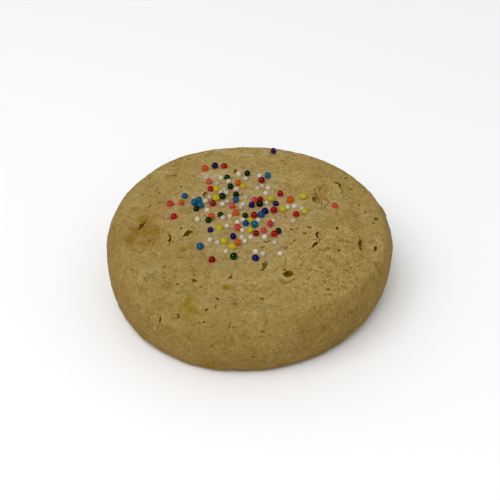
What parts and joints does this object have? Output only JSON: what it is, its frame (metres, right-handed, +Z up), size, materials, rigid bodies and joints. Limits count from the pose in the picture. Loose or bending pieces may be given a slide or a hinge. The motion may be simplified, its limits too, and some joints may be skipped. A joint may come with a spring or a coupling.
{
  "type": "sugar cookie",
  "caption": "Thick round soft sugar cookie with a flat base, rounded sides, a low rim and a cracked matte top with small rainbow sugar beads in the middle.",
  "frame": {"origin": "middle of the flat base, on the surface the cookie lies on", "axes": "+Z up through the thickness, -Y towards the front, +X to the right"},
  "size_m": [0.0762, 0.0758, 0.0247],
  "materials": {
    "crust": "matte baked crust, pale golden tan, finely grained, with browner patches and dark pits",
    "beads_white": "white sugar beads, satin",
    "beads_red": "red sugar beads, glossy",
    "beads_pink": "coral pink sugar beads, glossy",
    "beads_orange": "orange sugar beads, glossy",
    "beads_yellow": "yellow sugar beads, glossy",
    "beads_blue": "blue sugar beads, glossy",
    "beads_navy": "deep blue-violet sugar beads, glossy",
    "beads_green": "dark green sugar beads, glossy"
  },
  "bodies": {
    "root": {"cookie": "crust"}
  },
  "joints": []
}
